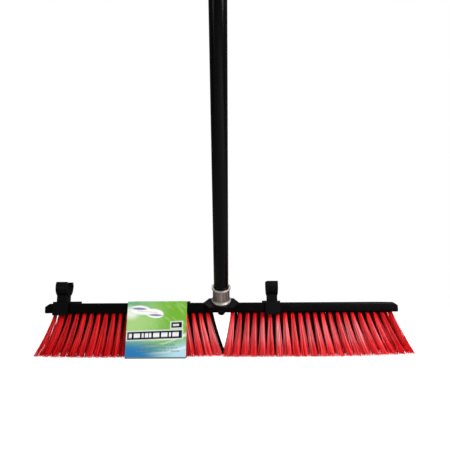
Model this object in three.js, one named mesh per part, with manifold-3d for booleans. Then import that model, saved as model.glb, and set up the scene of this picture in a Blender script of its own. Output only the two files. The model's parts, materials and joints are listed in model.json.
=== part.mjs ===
// A 24-inch push broom: moulded head with ten fanned tuft rows, two packing clips and a card sleeve,
// and a two-section steel handle whose ribbed collar screws into the head's leaning socket.
// Millimetres, +Z up. X runs along the head and the handle leans towards -Y.
// The origin is on the floor under the middle of the head, at the tips of the bristles.

import * as THREE from "three";
import { ConvexGeometry } from "three/addons/geometries/ConvexGeometry.js";
import { mergeVertices } from "three/addons/utils/BufferGeometryUtils.js";
import Module from "manifold-3d";

const wasm = await Module();
wasm.setup();

// ---- driving dimensions ----

const GAP = 0.3; // left between pieces that touch

// Head block
const BLOCK_LENGTH = 610;
const BLOCK_DEPTH = 64;
const BLOCK_THICKNESS = 16.5;
const BRISTLE_LENGTH = 73; // from the tips on the floor to the underside of the block
const BLOCK_TOP = BRISTLE_LENGTH + BLOCK_THICKNESS;
const EDGE_RADIUS = 3.6;
const END_SLOPE_LENGTH = 7.5; // sloped top corners at both ends
const END_SLOPE_HEIGHT = 5.5;

// Socket boss and the leaning handle axis, which crosses the seat at the point given here
const HANDLE_LEAN = THREE.MathUtils.degToRad(33);
const SEAT_Y = -23.9;
const SEAT_Z = 91.2;
const SEAT_RADIUS = 18.2;
const SEAT_DEPTH = 1.6; // the boss's front face stands this far above the seat
const BOSS_BASE_HALF = 31.5;
const BOSS_RIDGE_HALF = 21.5;
const BOSS_RIDGE_Z = BLOCK_TOP + 8;
const BOSS_RIDGE_WIDTH = 6;
const BOSS_BACK_Y = 9;
const BOSS_FRONT_Y = -42;
const BOSS_FRONT_HALF = 20;
const SOCKET_END_RADIUS = 7.2; // round blind end, which shows under the block
const SOCKET_END_CENTRE = -19.5;

// Tapered thread: a cone in the socket, turned by the collar
const THREAD_TOP_RADIUS = 9.5;
const THREAD_END_RADIUS = 4;
const THREAD_LENGTH = 22;
const THREAD_CLEARANCE = 0.4;
const THREAD_SHANK = 3; // straight stretch under the flange

// Washer and collar
const WASHER_THICKNESS = 1.5;
const WASHER_RADIUS = 16;
const FLANGE_RADIUS = 17;
const TOP_FLANGE_RADIUS = 16.4;
const WAIST_RADIUS = 13.9;
const COLLAR_LENGTH = 28.5;
const FLANGE_THICKNESS = 3;
const FLANGE_FLARE = 1.6;
const COLLAR_FLOOR = 6;
const RIB_COUNT = 8;
const RIB_WIDTH = 1.6;
const RIB_HEIGHT = 0.7;

// Handle: two equal tube sections
const TUBE_RADIUS = 12.5;
const TUBE_WALL = 1;
const SECTION_LENGTH = 610;
const PLUG_DEPTH = 20;
const JOINT_FLANGE = 3;
const STUD_RADIUS = 8;
const STUD_LENGTH = 16;
const STUD_CLEARANCE = 0.4;
const SOCKET_DEPTH = 26;

// End cap with its hanging hole
const CAP_RADIUS = 14.2;
const CAP_SKIRT = 24;
const LUG_THICKNESS = 9;
const LUG_HALF_WIDTH = 10.5;
const LUG_HEIGHT = 15;
const HANG_HOLE_RADIUS = 5;

// Packing clips
const CLIP_X = { clip_left: -278, clip_right: 89 };
const JAW_INNER_RADIUS = 12.9;
const JAW_WALL = 3;
const JAW_MOUTH_HALF_ANGLE = THREE.MathUtils.degToRad(60);
const JAW_LIP_HEIGHT = 2.2;
const JAW_LIP_FLARE = 1.2;
const JAW_LENGTH = 19.6;
const JAW_CENTRE_Y = -20; // over the front half of the block
const JAW_CENTRE_Z = BLOCK_TOP + 28.7;
const NECK_LENGTH = 17;
const NECK_DEPTH = 20;
const SADDLE_LENGTH = 25.4;
const SADDLE_WALL = 3;
const HOOK_REACH = 4.2;

// Tufts: five rows front to back, each in a left and a right half that fans out to its own side
const ROW_ROOT_Y = [-22, -11, 0, 11, 22];
const ROW_TIP_Y = [-34, -17, 0, 17, 34];
const ROW_ROOT_HALF = 3.2;
const ROW_TIP_HALF = 4.6;
const ROW_STAGGER = 6.3; // every second row sits half a pitch further along
const TUFTS_PER_HALF = 22;
const TUFT_ROOT_HALF = 3.2;
const TUFT_JOIN_HEIGHT = 18; // below this the spread tufts touch
const HALVES = {
  left: { root: [-289.3, -24.1], tip: [-310, -5] },
  right: { root: [20, 293], tip: [9.6, 319] },
};

// Card sleeve
const SLEEVE_FROM_X = -161;
const SLEEVE_TO_X = -59;
const CARD = 0.8;
const SLEEVE_TOP_HALF = 34.2;
const SLEEVE_BOTTOM_HALF = 44.5;
const SLEEVE_TOP_Z = BLOCK_TOP + 2.9;
const SLEEVE_BOTTOM_Z = -1.2;

// ---- materials ----

const material = (color, roughness, metalness) =>
  new THREE.MeshStandardMaterial({ color, roughness, metalness });
const blackPlastic = () => material(0x141517, 0.5, 0);
const blackPaint = () => material(0x0d0e10, 0.25, 0.4);
const greyMetal = () => material(0x9c9792, 0.4, 0.6);
const greyPlastic = () => material(0x55585c, 0.6, 0);
const redFilament = () => material(0xd01525, 0.5, 0);
const blackFilament = () => material(0x17171a, 0.5, 0);
const printedCard = () => material(0x49a045, 0.7, 0);

// ---- solids: plain helpers around the geometry classes ----

function solid(geometry) {
  const bare = geometry.clone();
  bare.deleteAttribute("normal");
  bare.deleteAttribute("uv");
  const merged = mergeVertices(bare, 1e-4);
  return new wasm.Manifold(new wasm.Mesh({
    numProp: 3,
    vertProperties: new Float32Array(merged.attributes.position.array),
    triVerts: new Uint32Array(merged.index.array),
  }));
}

function geometryOf(manifold) {
  const mesh = manifold.getMesh();
  const geometry = new THREE.BufferGeometry();
  geometry.setAttribute("position", new THREE.Float32BufferAttribute(mesh.vertProperties, 3));
  geometry.setIndex(Array.from(mesh.triVerts));
  geometry.computeVertexNormals();
  return geometry;
}

// A closed outline of [radius, height] points turned about Z
function turned(points, segments = 32) {
  const outline = points.map(([radius, height]) => new THREE.Vector2(radius, height));
  outline.push(outline[0].clone());
  return new THREE.LatheGeometry(outline, segments).rotateX(Math.PI / 2);
}

// An outline in the plane across the head (Y, Z), pulled along X and centred on x = 0
function alongX(shape, length, curveSegments = 6) {
  const geometry = new THREE.ExtrudeGeometry(shape, { depth: length, bevelEnabled: false, curveSegments });
  geometry.translate(0, 0, -length / 2);
  const toAxes = new THREE.Matrix4().makeBasis(
    new THREE.Vector3(0, 1, 0),
    new THREE.Vector3(0, 0, 1),
    new THREE.Vector3(1, 0, 0),
  );
  return geometry.applyMatrix4(toAxes);
}

// An outline in the front view (X, Z), pulled along Y and centred on y = 0
function alongY(shape, depth) {
  const geometry = new THREE.ExtrudeGeometry(shape, { depth, bevelEnabled: false });
  geometry.translate(0, 0, -depth / 2);
  return geometry.rotateX(Math.PI / 2);
}

const polygon = (points) => new THREE.Shape(points.map(([a, b]) => new THREE.Vector2(a, b)));

function roundedRectangle(width, low, high, radius) {
  const half = width / 2;
  const shape = new THREE.Shape();
  shape.moveTo(-half + radius, low);
  shape.lineTo(half - radius, low);
  shape.absarc(half - radius, low + radius, radius, -Math.PI / 2, 0, false);
  shape.absarc(half - radius, high - radius, radius, 0, Math.PI / 2, false);
  shape.absarc(-half + radius, high - radius, radius, Math.PI / 2, Math.PI, false);
  shape.absarc(-half + radius, low + radius, radius, Math.PI, 1.5 * Math.PI, false);
  return shape;
}

// Moves a geometry from the handle's own frame, with Z up the handle from the seat, into the head's frame
function leaned(geometry) {
  return geometry.rotateX(HANDLE_LEAN).translate(0, SEAT_Y, SEAT_Z);
}

function node(name, geometry, look) {
  const mesh = new THREE.Mesh(geometry, look);
  mesh.name = name;
  return mesh;
}

// ---- head block with its boss and threaded socket ----

// Height of the boss's front face, SEAT_DEPTH above the seat, at a given distance along Y
const faceHeight = (y) =>
  SEAT_Z + SEAT_DEPTH / Math.cos(HANDLE_LEAN) + (y - SEAT_Y) * Math.tan(HANDLE_LEAN);
const faceDistance = (z) =>
  SEAT_Y + (z - SEAT_Z - SEAT_DEPTH / Math.cos(HANDLE_LEAN)) / Math.tan(HANDLE_LEAN);

function bossGeometry() {
  const ridgeFront = faceDistance(BOSS_RIDGE_Z);
  const shoulder = faceDistance(BLOCK_TOP);
  const corners = [
    [BOSS_RIDGE_HALF, ridgeFront, BOSS_RIDGE_Z],
    [BOSS_RIDGE_HALF, ridgeFront + BOSS_RIDGE_WIDTH, BOSS_RIDGE_Z],
    [BOSS_BASE_HALF, shoulder, BLOCK_TOP],
    [BOSS_BASE_HALF, BOSS_BACK_Y, BLOCK_TOP],
    [BOSS_BASE_HALF, BOSS_BACK_Y, BLOCK_TOP - EDGE_RADIUS],
    [BOSS_BASE_HALF - 4, -BLOCK_DEPTH / 2 + 1, BRISTLE_LENGTH + EDGE_RADIUS],
    [BOSS_FRONT_HALF, BOSS_FRONT_Y, faceHeight(BOSS_FRONT_Y)],
    [BOSS_FRONT_HALF - 2, BOSS_FRONT_Y + 1, faceHeight(BOSS_FRONT_Y) - 4],
    [BOSS_FRONT_HALF - 4, -BLOCK_DEPTH / 2 - 1, BRISTLE_LENGTH + 1],
  ];
  const points = corners.flatMap(([x, y, z]) => [new THREE.Vector3(x, y, z), new THREE.Vector3(-x, y, z)]);
  return new ConvexGeometry(points);
}

function headBlock() {
  const bar = alongX(roundedRectangle(BLOCK_DEPTH, BRISTLE_LENGTH, BLOCK_TOP, EDGE_RADIUS), BLOCK_LENGTH, 4);
  const half = BLOCK_LENGTH / 2;
  const endView = alongY(polygon([
    [-half, BRISTLE_LENGTH - 1],
    [half, BRISTLE_LENGTH - 1],
    [half, BLOCK_TOP - END_SLOPE_HEIGHT],
    [half - END_SLOPE_LENGTH, BLOCK_TOP],
    [half - END_SLOPE_LENGTH, BLOCK_TOP + 1],
    [-half + END_SLOPE_LENGTH, BLOCK_TOP + 1],
    [-half + END_SLOPE_LENGTH, BLOCK_TOP],
    [-half, BLOCK_TOP - END_SLOPE_HEIGHT],
  ]), BLOCK_DEPTH + 2);
  const roundEnd = new THREE.SphereGeometry(SOCKET_END_RADIUS, 24, 16);
  roundEnd.translate(0, 0, SOCKET_END_CENTRE);
  const recess = turned([[0, 0], [SEAT_RADIUS, 0], [SEAT_RADIUS, 30], [0, 30]], 48);
  const bore = turned([
    [0, -THREAD_LENGTH - THREAD_CLEARANCE],
    [THREAD_END_RADIUS + THREAD_CLEARANCE, -THREAD_LENGTH - THREAD_CLEARANCE],
    [THREAD_TOP_RADIUS + THREAD_CLEARANCE, -THREAD_SHANK],
    [THREAD_TOP_RADIUS + THREAD_CLEARANCE, 1],
    [0, 1],
  ]);
  const whole = solid(bar)
    .intersect(solid(endView))
    .add(solid(bossGeometry()))
    .add(solid(leaned(roundEnd)))
    .subtract(solid(leaned(recess)))
    .subtract(solid(leaned(bore)));
  return node("head_block", geometryOf(whole), blackPlastic());
}

// ---- tuft rows ----

const between = ([from, to], share) => from + (to - from) * share;

// The front view of half a row: separate tufts at the roots, which spread until they touch near the floor
function tuftOutline(half, shift) {
  const last = TUFTS_PER_HALF - 1;
  const top = BRISTLE_LENGTH - GAP;
  const rootAt = (i) => between(half.root, i / last) + shift;
  const tipAt = (i) => between(half.tip, i / last) + shift;
  const tipHalf = (tipAt(1) - tipAt(0)) / 2 - 0.6;
  const joinShare = TUFT_JOIN_HEIGHT / BRISTLE_LENGTH;
  const points = [[tipAt(0) - tipHalf, 0]];
  for (let i = 0; i <= last; i += 1) {
    points.push([rootAt(i) - TUFT_ROOT_HALF, top]);
    points.push([rootAt(i) + TUFT_ROOT_HALF, top]);
    if (i < last) {
      const tipMiddle = (tipAt(i) + tipAt(i + 1)) / 2;
      const rootMiddle = (rootAt(i) + rootAt(i + 1)) / 2;
      points.push([tipMiddle + (rootMiddle - tipMiddle) * joinShare, TUFT_JOIN_HEIGHT]);
    }
  }
  points.push([tipAt(last) + tipHalf, 0]);
  return polygon(points.reverse());
}

// Rows lean out to the front and back, and get thicker towards the tips
function tuftRow(side, row) {
  const staggered = row % 2 === 1;
  const geometry = alongY(tuftOutline(HALVES[side], staggered ? ROW_STAGGER : 0), 2);
  const place = geometry.attributes.position;
  for (let i = 0; i < place.count; i += 1) {
    const share = place.getZ(i) / BRISTLE_LENGTH;
    const middle = ROW_TIP_Y[row] + (ROW_ROOT_Y[row] - ROW_TIP_Y[row]) * share;
    const thickness = ROW_TIP_HALF + (ROW_ROOT_HALF - ROW_TIP_HALF) * share;
    place.setY(i, middle + place.getY(i) * thickness);
  }
  const outer = row === 0 || row === ROW_ROOT_Y.length - 1;
  return node(`tuft_row_${side}_${row + 1}`, geometry, outer ? redFilament() : blackFilament());
}

// ---- washer, collar, tubes and their threaded joint, all in the handle's own frame ----

const WASHER_BASE = GAP;
const COLLAR_BASE = WASHER_BASE + WASHER_THICKNESS + GAP;
const COLLAR_TOP = COLLAR_BASE + COLLAR_LENGTH;
const TUBE_BASE = COLLAR_BASE + COLLAR_FLOOR + GAP;
const TUBE_TOP = TUBE_BASE + SECTION_LENGTH;
const TUBE_BORE = TUBE_RADIUS - TUBE_WALL;
const PLUG_RADIUS = TUBE_BORE - GAP;

function washer(name, base, outer, inner) {
  const top = base + WASHER_THICKNESS;
  return node(name, turned([[inner, base], [outer, base], [outer, top], [inner, top]]), greyPlastic());
}

function threadedCollar() {
  const base = COLLAR_BASE;
  const top = COLLAR_TOP;
  const tubeRoom = TUBE_RADIUS + GAP + 0.05;
  const body = turned([
    [0, -THREAD_LENGTH],
    [THREAD_END_RADIUS, -THREAD_LENGTH],
    [THREAD_TOP_RADIUS, -THREAD_SHANK],
    [THREAD_TOP_RADIUS, base],
    [FLANGE_RADIUS, base],
    [FLANGE_RADIUS, base + FLANGE_THICKNESS],
    [WAIST_RADIUS, base + FLANGE_THICKNESS + FLANGE_FLARE],
    [WAIST_RADIUS, top - FLANGE_THICKNESS - FLANGE_FLARE],
    [TOP_FLANGE_RADIUS, top - FLANGE_THICKNESS],
    [TOP_FLANGE_RADIUS, top],
    [tubeRoom, top],
    [tubeRoom, base + COLLAR_FLOOR],
    [PLUG_RADIUS, base + COLLAR_FLOOR],
    [PLUG_RADIUS, base + COLLAR_FLOOR + PLUG_DEPTH],
    [0, base + COLLAR_FLOOR + PLUG_DEPTH],
  ]);
  let whole = solid(body);
  const ribFrom = base + FLANGE_THICKNESS - 0.5;
  const ribTo = top - FLANGE_THICKNESS + 0.5;
  for (let i = 0; i < RIB_COUNT; i += 1) {
    const rib = new THREE.BoxGeometry(RIB_WIDTH, RIB_HEIGHT + 0.5, ribTo - ribFrom);
    rib.translate(0, -(WAIST_RADIUS + (RIB_HEIGHT - 0.5) / 2), (ribFrom + ribTo) / 2);
    rib.rotateZ((i * 2 * Math.PI) / RIB_COUNT);
    whole = whole.add(solid(rib));
  }
  return node("threaded_collar", geometryOf(whole), greyMetal());
}

function tube(name, base) {
  const top = base + SECTION_LENGTH;
  const outline = [[TUBE_BORE, base], [TUBE_RADIUS, base], [TUBE_RADIUS, top], [TUBE_BORE, top]];
  return node(name, turned(outline, 40), blackPaint());
}

const JOINT_SOCKET_BASE = TUBE_TOP + GAP;
const JOINT_WASHER_BASE = JOINT_SOCKET_BASE + JOINT_FLANGE + GAP;
const JOINT_STUD_BASE = JOINT_WASHER_BASE + WASHER_THICKNESS + GAP;
const UPPER_TUBE_BASE = JOINT_STUD_BASE + JOINT_FLANGE + GAP;
const UPPER_TUBE_TOP = UPPER_TUBE_BASE + SECTION_LENGTH;

function jointSocket() {
  const base = JOINT_SOCKET_BASE;
  const bore = STUD_RADIUS + STUD_CLEARANCE;
  const outline = [
    [0, base - SOCKET_DEPTH],
    [PLUG_RADIUS, base - SOCKET_DEPTH],
    [PLUG_RADIUS, base],
    [TUBE_RADIUS, base],
    [TUBE_RADIUS, base + JOINT_FLANGE],
    [bore, base + JOINT_FLANGE],
    [bore, base - SOCKET_DEPTH + 3],
    [0, base - SOCKET_DEPTH + 3],
  ];
  return node("joint_socket", turned(outline), greyPlastic());
}

function jointStud() {
  const base = JOINT_STUD_BASE;
  const outline = [
    [0, base - STUD_LENGTH],
    [STUD_RADIUS - 1, base - STUD_LENGTH],
    [STUD_RADIUS, base - STUD_LENGTH + 1.5],
    [STUD_RADIUS, base],
    [TUBE_RADIUS, base],
    [TUBE_RADIUS, base + JOINT_FLANGE],
    [PLUG_RADIUS, base + JOINT_FLANGE],
    [PLUG_RADIUS, base + JOINT_FLANGE + PLUG_DEPTH],
    [0, base + JOINT_FLANGE + PLUG_DEPTH],
  ];
  return node("joint_stud", turned(outline), greyPlastic());
}

// The cap slips over the tube's end and carries a flat lug with a hole, which the broom hangs by
function endCap() {
  const base = UPPER_TUBE_TOP - CAP_SKIRT;
  const closedFrom = UPPER_TUBE_TOP + GAP;
  const shoulder = closedFrom + 5;
  const room = TUBE_RADIUS + GAP + 0.05;
  const skirt = turned([
    [room, base],
    [CAP_RADIUS, base],
    [CAP_RADIUS, shoulder - 2],
    [CAP_RADIUS - 2, shoulder],
    [0, shoulder],
    [0, closedFrom],
    [room, closedFrom],
  ]);
  const holeCentre = shoulder + LUG_HEIGHT - LUG_HALF_WIDTH + 4;
  const outline = new THREE.Shape();
  outline.moveTo(-LUG_HALF_WIDTH, shoulder - 1);
  outline.lineTo(LUG_HALF_WIDTH, shoulder - 1);
  outline.lineTo(LUG_HALF_WIDTH, holeCentre);
  outline.absarc(0, holeCentre, LUG_HALF_WIDTH, 0, Math.PI, false);
  const hole = new THREE.Path();
  hole.absarc(0, holeCentre, HANG_HOLE_RADIUS, 0, 2 * Math.PI, true);
  outline.holes.push(hole);
  const lug = alongX(outline, LUG_THICKNESS, 14);
  return node("end_cap", geometryOf(solid(skirt).add(solid(lug))), blackPlastic());
}

// ---- packing clips: a C-shaped jaw on a neck and a saddle hooked round the block ----

function jawOutline() {
  const outer = JAW_INNER_RADIUS + JAW_WALL;
  const left = Math.PI / 2 + JAW_MOUTH_HALF_ANGLE;
  const right = Math.PI / 2 - JAW_MOUTH_HALF_ANGLE + 2 * Math.PI;
  const shape = new THREE.Shape();
  shape.absarc(0, JAW_CENTRE_Z, outer, left, right, false);
  const lipY = JAW_INNER_RADIUS * Math.sin(JAW_MOUTH_HALF_ANGLE);
  const lipZ = JAW_CENTRE_Z + JAW_INNER_RADIUS * Math.cos(JAW_MOUTH_HALF_ANGLE);
  shape.lineTo(lipY + JAW_LIP_FLARE + JAW_WALL * 0.8, lipZ + JAW_LIP_HEIGHT);
  shape.lineTo(lipY + JAW_LIP_FLARE, lipZ + JAW_LIP_HEIGHT);
  shape.absarc(0, JAW_CENTRE_Z, JAW_INNER_RADIUS, right, left, true);
  shape.lineTo(-lipY - JAW_LIP_FLARE, lipZ + JAW_LIP_HEIGHT);
  shape.lineTo(-lipY - JAW_LIP_FLARE - JAW_WALL * 0.8, lipZ + JAW_LIP_HEIGHT);
  return shape;
}

function saddleOutline() {
  const inner = BLOCK_DEPTH / 2 + GAP;
  const outer = inner + SADDLE_WALL;
  const under = BRISTLE_LENGTH - GAP;
  const over = BLOCK_TOP + GAP;
  return polygon([
    [-outer, under - SADDLE_WALL],
    [-inner + HOOK_REACH, under - SADDLE_WALL],
    [-inner + HOOK_REACH, under],
    [-inner, under],
    [-inner, over],
    [inner, over],
    [inner, under],
    [inner - HOOK_REACH, under],
    [inner - HOOK_REACH, under - SADDLE_WALL],
    [outer, under - SADDLE_WALL],
    [outer, over + SADDLE_WALL - 1],
    [outer - 1.5, over + SADDLE_WALL],
    [-outer + 1.5, over + SADDLE_WALL],
    [-outer, over + SADDLE_WALL - 1],
  ]);
}

function clip(name) {
  const neckLow = BLOCK_TOP + GAP + SADDLE_WALL / 2;
  const neckHigh = JAW_CENTRE_Z - JAW_INNER_RADIUS - JAW_WALL / 2;
  const neck = new THREE.BoxGeometry(NECK_LENGTH, NECK_DEPTH, neckHigh - neckLow);
  neck.translate(0, JAW_CENTRE_Y, (neckLow + neckHigh) / 2);
  const jaw = alongX(jawOutline(), JAW_LENGTH, 20);
  jaw.translate(0, JAW_CENTRE_Y, 0);
  const whole = solid(alongX(saddleOutline(), SADDLE_LENGTH))
    .add(solid(neck))
    .add(solid(jaw));
  const mesh = node(name, geometryOf(whole), blackPlastic());
  mesh.position.x = CLIP_X[name];
  return mesh;
}

// ---- card sleeve: four flat panels folded round the head and its bristles ----

function cardSleeve() {
  const panel = (inset) => [
    [-SLEEVE_BOTTOM_HALF + inset, SLEEVE_BOTTOM_Z + inset],
    [SLEEVE_BOTTOM_HALF - inset, SLEEVE_BOTTOM_Z + inset],
    [SLEEVE_TOP_HALF - inset, SLEEVE_TOP_Z - inset],
    [-SLEEVE_TOP_HALF + inset, SLEEVE_TOP_Z - inset],
  ];
  const shape = polygon(panel(0));
  shape.holes.push(new THREE.Path(panel(CARD).reverse().map(([a, b]) => new THREE.Vector2(a, b))));
  const mesh = node("card_sleeve", alongX(shape, SLEEVE_TO_X - SLEEVE_FROM_X), printedCard());
  mesh.position.x = (SLEEVE_FROM_X + SLEEVE_TO_X) / 2;
  return mesh;
}

// ---- the broom ----

const handle = new THREE.Group();
handle.position.set(0, SEAT_Y, SEAT_Z);
handle.rotation.x = HANDLE_LEAN;
handle.add(
  washer("seat_washer", WASHER_BASE, WASHER_RADIUS, THREAD_TOP_RADIUS + THREAD_CLEARANCE),
  threadedCollar(),
  tube("lower_tube", TUBE_BASE),
  jointSocket(),
  washer("joint_washer", JOINT_WASHER_BASE, TUBE_RADIUS, STUD_RADIUS + STUD_CLEARANCE),
  jointStud(),
  tube("upper_tube", UPPER_TUBE_BASE),
  endCap(),
);

const broom = new THREE.Group();
broom.name = "push_broom";
broom.add(headBlock());
for (const side of Object.keys(HALVES)) {
  for (let row = 0; row < ROW_ROOT_Y.length; row += 1) {
    broom.add(tuftRow(side, row));
  }
}
for (const name of Object.keys(CLIP_X)) {
  broom.add(clip(name));
}
broom.add(cardSleeve(), handle);

export default broom;
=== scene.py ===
"""The looks of a push broom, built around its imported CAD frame. Metres, +Z up, X along the head."""

import json
import math

import bmesh
import bpy
import numpy as np
from mathutils import Matrix, Vector


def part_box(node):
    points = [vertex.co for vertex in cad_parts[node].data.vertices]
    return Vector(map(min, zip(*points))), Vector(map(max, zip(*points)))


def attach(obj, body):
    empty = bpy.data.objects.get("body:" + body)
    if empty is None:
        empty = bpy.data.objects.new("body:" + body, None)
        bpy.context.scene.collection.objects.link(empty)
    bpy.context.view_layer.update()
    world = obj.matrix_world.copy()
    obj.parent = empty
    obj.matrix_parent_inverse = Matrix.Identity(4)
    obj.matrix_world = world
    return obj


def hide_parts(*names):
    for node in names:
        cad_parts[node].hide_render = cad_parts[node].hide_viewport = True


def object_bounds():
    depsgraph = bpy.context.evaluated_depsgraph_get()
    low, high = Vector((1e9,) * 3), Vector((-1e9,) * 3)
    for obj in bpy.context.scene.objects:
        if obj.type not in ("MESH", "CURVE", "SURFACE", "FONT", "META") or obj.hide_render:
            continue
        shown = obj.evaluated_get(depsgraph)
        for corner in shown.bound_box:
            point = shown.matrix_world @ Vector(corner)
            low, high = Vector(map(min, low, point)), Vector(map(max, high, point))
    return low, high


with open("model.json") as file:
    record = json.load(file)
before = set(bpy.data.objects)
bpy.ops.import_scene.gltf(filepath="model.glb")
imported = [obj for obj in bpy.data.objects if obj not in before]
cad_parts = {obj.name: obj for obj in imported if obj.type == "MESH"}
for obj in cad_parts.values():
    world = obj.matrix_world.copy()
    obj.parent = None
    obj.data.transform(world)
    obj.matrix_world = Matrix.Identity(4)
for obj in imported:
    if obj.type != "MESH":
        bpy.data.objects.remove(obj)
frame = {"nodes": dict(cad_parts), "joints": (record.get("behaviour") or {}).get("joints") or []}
cad_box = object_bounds()

MM = 0.001
SEED = 24
scene = bpy.context.scene

# ---- camera, floor and light ----

CAMERA_DISTANCE = 0.74
CAMERA_HEIGHT = 0.0955             # just above the top of the head
CAMERA_TURN = math.radians(0.707)  # the camera stands a little to the right of the head's middle
CAMERA_PAN = math.radians(-0.553)
CAMERA_PITCH = math.radians(10.489)
CAMERA_ROLL = math.radians(-0.297)
CAMERA_LENS = 32.1
CAMERA_SENSOR = 36.0
AMBIENT = 0.15       # how strongly the white surroundings light the broom
FLOOR_REACH = 30.0
FLOOR_DROP = 0.0002  # the floor lies this far under the lowest piece
FLOOR_GLOW = 0.94    # lifts the floor to the white of the surroundings, for the camera only
LIGHT_TARGET = Vector((0, 0, 0.1))


def make_camera():
    data = bpy.data.cameras.new("camera")
    data.lens = CAMERA_LENS
    data.sensor_width = CAMERA_SENSOR
    data.clip_start = 0.01
    camera = bpy.data.objects.new("camera", data)
    scene.collection.objects.link(camera)
    place = Matrix.Translation((
        CAMERA_DISTANCE * math.sin(CAMERA_TURN),
        -CAMERA_DISTANCE * math.cos(CAMERA_TURN),
        CAMERA_HEIGHT,
    ))
    heading = Matrix.Rotation(CAMERA_TURN + CAMERA_PAN, 4, "Z")
    level = Matrix.Rotation(math.pi / 2 + CAMERA_PITCH, 4, "X")
    camera.matrix_world = place @ heading @ level @ Matrix.Rotation(CAMERA_ROLL, 4, "Z")
    scene.camera = camera


def area_light(name, location, size, power):
    data = bpy.data.lights.new(name, "AREA")
    data.shape = "RECTANGLE"
    data.size, data.size_y = size
    data.energy = power
    light = bpy.data.objects.new(name, data)
    scene.collection.objects.link(light)
    light.location = location
    aim = LIGHT_TARGET - Vector(location)
    light.rotation_euler = aim.to_track_quat("-Z", "Y").to_euler()


def camera_glow(tree, extra, base):
    """A strength of white light: base for everything, and extra that only the camera sees."""
    glow = tree.nodes.new("ShaderNodeLightPath").outputs["Is Camera Ray"]
    strength = tree.nodes.new("ShaderNodeMath")
    strength.operation = "MULTIPLY_ADD"
    tree.links.new(glow, strength.inputs[0])
    strength.inputs[1].default_value = extra
    strength.inputs[2].default_value = base
    return strength.outputs[0]


def make_stage():
    floor_mesh = bpy.data.meshes.new("floor")
    low = cad_box[0].z - FLOOR_DROP
    corners = [(x * FLOOR_REACH, y * FLOOR_REACH, low) for x, y in ((-1, -1), (1, -1), (1, 1), (-1, 1))]
    floor_mesh.from_pydata(corners, [], [(0, 1, 2, 3)])
    floor = bpy.data.objects.new("floor", floor_mesh)
    scene.collection.objects.link(floor)
    paint = bpy.data.materials.new("floor_white")
    paint.use_nodes = True
    shader = paint.node_tree.nodes["Principled BSDF"]
    shader.inputs["Base Color"].default_value = (0.5, 0.5, 0.5, 1)
    shader.inputs["Roughness"].default_value = 0.9
    shader.inputs["Specular IOR Level"].default_value = 0.1
    shader.inputs["Emission Color"].default_value = (1, 1, 1, 1)
    glow = camera_glow(paint.node_tree, FLOOR_GLOW, 0)
    paint.node_tree.links.new(glow, shader.inputs["Emission Strength"])
    floor_mesh.materials.append(paint)

    world = bpy.data.worlds.new("studio")
    world.use_nodes = True
    background = world.node_tree.nodes["Background"]
    background.inputs["Color"].default_value = (1, 1, 1, 1)
    glow = camera_glow(world.node_tree, 1 - AMBIENT, AMBIENT)
    world.node_tree.links.new(glow, background.inputs["Strength"])
    scene.world = world
    area_light("key", (0.75, -0.85, 0.6), (0.5, 0.5), 19)
    area_light("fill", (-1.5, -1.2, 0.7), (0.4, 1.2), 8)
    area_light("top", (0.2, 0.4, 2.2), (1.6, 0.8), 12)
    scene.view_settings.view_transform = "Standard"


# ---- node materials ----

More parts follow.
